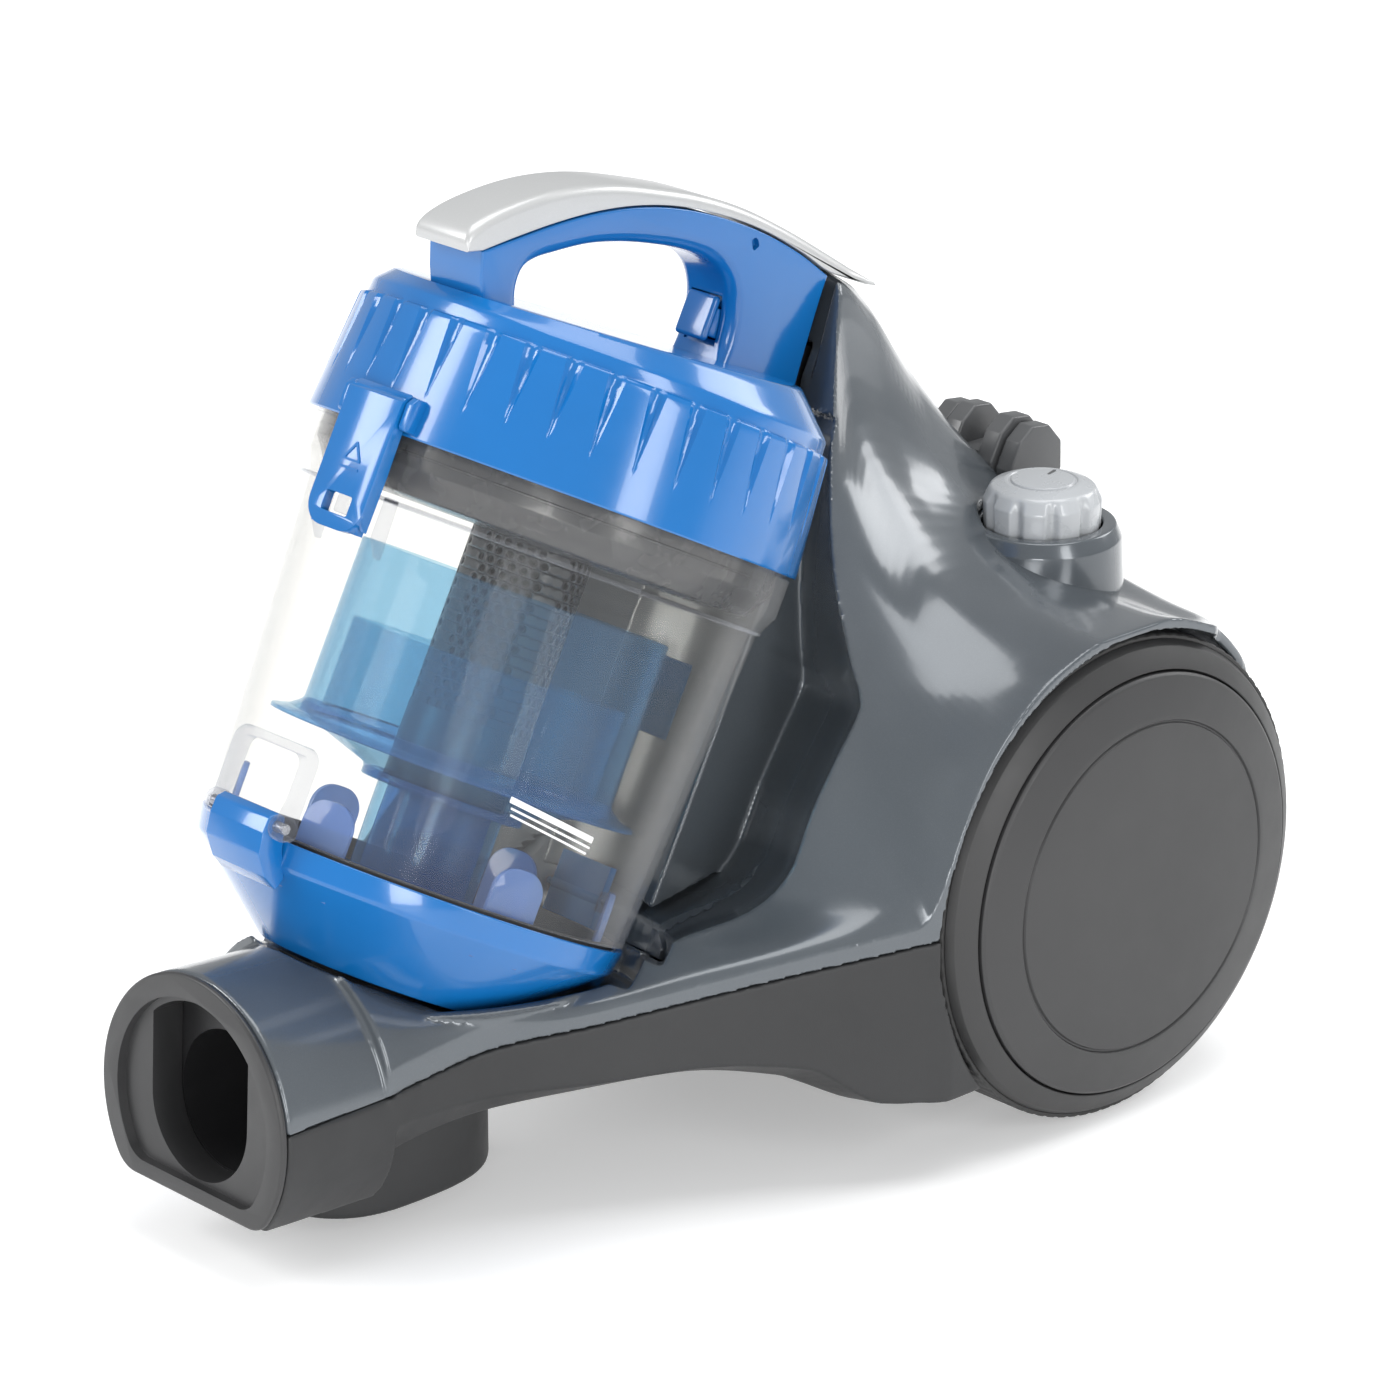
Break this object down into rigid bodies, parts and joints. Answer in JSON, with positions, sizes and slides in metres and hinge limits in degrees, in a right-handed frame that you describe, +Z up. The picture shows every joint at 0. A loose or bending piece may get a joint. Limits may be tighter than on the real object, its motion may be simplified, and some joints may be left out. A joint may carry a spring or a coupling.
{
  "type": "canister vacuum cleaner",
  "caption": "Bagless canister vacuum cleaner with a tilted clear cyclone bin, ribbed lid with a carry handle, large side wheels, front hose inlet and a round control knob.",
  "frame": {"origin": "on the floor under the centre of the footprint", "axes": "+Z up, the hose inlet faces -Y, the rear wheels turn about X"},
  "size_m": [0.268, 0.3954, 0.335],
  "materials": {
    "grey_gloss": "glossy grey with fine metallic flake",
    "dark_matte": "fine grained matt dark grey",
    "black_matte": "matt black",
    "wheel_grey": "matt dark grey",
    "wheel_cap": "satin dark grey",
    "tyre_soft": "soft tread, matt",
    "seal_rubber": "soft matt",
    "steel": "turned steel",
    "motor_steel": "zinc plated sheet",
    "aluminium": "machined",
    "light_grey": "satin light grey",
    "silver_cover": "satin silver grey",
    "blue_gloss": "high gloss mid blue",
    "blue_clear": "tinted clear blue plastic",
    "clear_shell": "clear, slightly smoky plastic",
    "filter_grey": "matt grey",
    "filter_foam": "open foam and felt",
    "mesh_dark": "perforated dark screen"
  },
  "bodies": {
    "chassis": {"upper_housing": "grey_gloss", "base_pan": "dark_matte", "inlet_collar": "dark_matte", "hose_socket": "black_matte", "intake_elbow": "black_matte", "intake_gasket": "seal_rubber", "outlet_gasket": "seal_rubber", "motor_air_duct": "black_matte", "tool_park_hook": "black_matte", "control_bezel_right": "grey_gloss", "control_bezel_left": "grey_gloss", "knob_spring": "steel", "power_switch": "black_matte", "button_spring": "steel", "rear_axles": "steel", "axle_clips": "steel", "motor_housing": "motor_steel", "fan_cover": "motor_steel", "motor_mounts": "seal_rubber", "motor_cradle": "black_matte", "reel_axle": "steel", "rewind_spring_case": "black_matte", "exhaust_grille": "dark_matte", "exhaust_filter": "filter_foam", "cord_gland": "black_matte", "case_screws": "steel"},
    "knob_stem": {"knob_shaft": "dark_matte"},
    "knob": {"power_knob": "light_grey"},
    "rewind": {"rewind_button": "light_grey"},
    "caster": {"caster_fork": "black_matte", "caster_axle": "steel", "caster_retainer": "steel"},
    "caster_roller": {"caster_wheel": "wheel_grey"},
    "wheel_right": {"rear_wheel_right": "wheel_grey", "tyre_right": "tyre_soft", "wheel_cap_right": "wheel_cap"},
    "wheel_left": {"rear_wheel_left": "wheel_grey", "tyre_left": "tyre_soft", "wheel_cap_left": "wheel_cap"},
    "bin": {"dust_bin": "clear_shell", "door_hinge_pin": "steel", "filter_frame": "filter_grey", "pre_motor_filter": "filter_foam", "lid_seal": "seal_rubber", "cyclone_shroud": "blue_clear", "mesh_screen": "mesh_dark", "intake_tube": "blue_clear"},
    "door": {"bin_door": "blue_gloss", "door_seal": "seal_rubber"},
    "door_lever": {"door_release_lever": "blue_gloss"},
    "lid": {"bin_lid": "blue_gloss", "handle_frame": "blue_gloss", "handle_cover": "silver_cover"},
    "tab": {"lid_latch": "blue_gloss"},
    "trigger": {"release_trigger": "dark_matte"},
    "catch": {"bin_lock_catch": "black_matte"},
    "fan": {"motor_rotor": "motor_steel", "motor_fan": "aluminium"},
    "reel": {"cord_reel": "black_matte"}
  },
  "joints": [
    {"name": "wheel_right_spin", "type": "hinge", "parent": "chassis", "child": "wheel_right", "pos_m": [0.115, 0.1103, 0.0857], "axis": [1, 0, 0], "continuous": true},
    {"name": "wheel_left_spin", "type": "hinge", "parent": "chassis", "child": "wheel_left", "pos_m": [-0.115, 0.1103, 0.0857], "axis": [1, 0, 0], "continuous": true},
    {"name": "caster_swivel", "type": "hinge", "parent": "chassis", "child": "caster", "pos_m": [0, -0.118, 0.03], "axis": [0, 0, 1], "continuous": true},
    {"name": "caster_roll", "type": "hinge", "parent": "caster", "child": "caster_roller", "pos_m": [0, -0.109, 0.013], "axis": [1, 0, 0], "continuous": true},
    {"name": "knob_press", "type": "slide", "parent": "chassis", "child": "knob_stem", "axis": [0, 0, -1], "range_m": [0, 0.003], "stiffness_N_per_m": 900, "springref_m": -0.002, "deforming": ["knob_spring"]},
    {"name": "knob_turn", "type": "hinge", "parent": "knob_stem", "child": "knob", "pos_m": [0.055, 0.139, 0.195], "axis": [0, 0, 1], "range_deg": [-135, 135]},
    {"name": "rewind_press", "type": "slide", "parent": "chassis", "child": "rewind", "axis": [0, 0, -1], "range_m": [0, 0.004], "stiffness_N_per_m": 900, "springref_m": -0.003, "deforming": ["button_spring"]},
    {"name": "bin_lift", "type": "slide", "parent": "chassis", "child": "bin", "axis": [0, 0, 1], "range_m": [0, 0.3]},
    {"name": "door_open", "type": "hinge", "parent": "bin", "child": "door", "pos_m": [0, -0.16818, 0.15004], "axis": [-1, 0, 0], "range_deg": [0, 76]},
    {"name": "door_lever_press", "type": "hinge", "parent": "bin", "child": "door_lever", "pos_m": [0, -0.02674, 0.0825], "axis": [1, 0, 0], "range_deg": [0, 5], "stiffness_Nm_per_rad": 0.4, "springref_deg": -5.73},
    {"name": "lid_lift", "type": "slide", "parent": "bin", "child": "lid", "axis": [0, 0.4679, 0.8838], "range_m": [0, 0.0605]},
    {"name": "tab_tilt", "type": "hinge", "parent": "lid", "child": "tab", "pos_m": [0, -0.11079, 0.27467], "axis": [-1, 0, 0], "range_deg": [0, 20], "stiffness_Nm_per_rad": 0.4, "springref_deg": -5.73},
    {"name": "release_press", "type": "slide", "parent": "lid", "child": "trigger", "axis": [0, 0.8838, -0.4679], "range_m": [0, 0.0035], "stiffness_N_per_m": 900, "springref_m": -0.003},
    {"name": "catch_retract", "type": "slide", "parent": "chassis", "child": "catch", "axis": [0, 0.8838, -0.4679], "range_m": [0, 0.0036]},
    {"name": "fan_spin", "type": "hinge", "parent": "chassis", "child": "fan", "pos_m": [-0.03, 0.115, 0.092], "axis": [1, 0, 0], "continuous": true},
    {"name": "reel_spin", "type": "hinge", "parent": "chassis", "child": "reel", "pos_m": [0.035, 0.115, 0.092], "axis": [1, 0, 0], "continuous": true}
  ],
  "couplings": [
    {"joint": "door_open", "follows": "bin_lift", "rad_per_m": 4.363},
    {"joint": "lid_lift", "follows": "bin_lift", "ratio": 0.2},
    {"joint": "catch_retract", "follows": "release_press", "ratio": 1}
  ]
}
